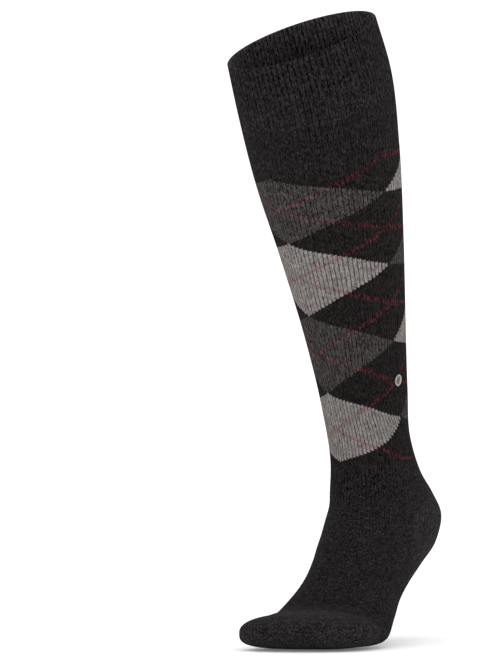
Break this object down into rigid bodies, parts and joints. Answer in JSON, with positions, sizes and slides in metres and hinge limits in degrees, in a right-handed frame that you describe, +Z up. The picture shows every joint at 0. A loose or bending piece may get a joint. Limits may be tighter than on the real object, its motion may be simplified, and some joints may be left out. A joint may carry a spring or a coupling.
{
  "type": "knee-high sock",
  "caption": "Knee-high knitted sock for the left foot, in the form it keeps on a lower leg with the heel raised, with a ribbed cuff and a diamond pattern.",
  "frame": {"origin": "middle of the opening for the leg, at the top of the cuff", "axes": "+Z up, toes towards -Y, +X towards the outer side of the left leg"},
  "size_m": [0.1225, 0.2512, 0.4913],
  "materials": {
    "body_knit": "fine wool knit, anthracite",
    "pattern_knit": "fine wool knit with grey diamonds and dark red lines on anthracite",
    "stud_metal": "polished"
  },
  "bodies": {
    "root": {"cuff": "body_knit", "leg": "pattern_knit", "foot": "body_knit", "heel": "body_knit", "toe": "body_knit", "side_stud": "stud_metal"}
  },
  "joints": []
}
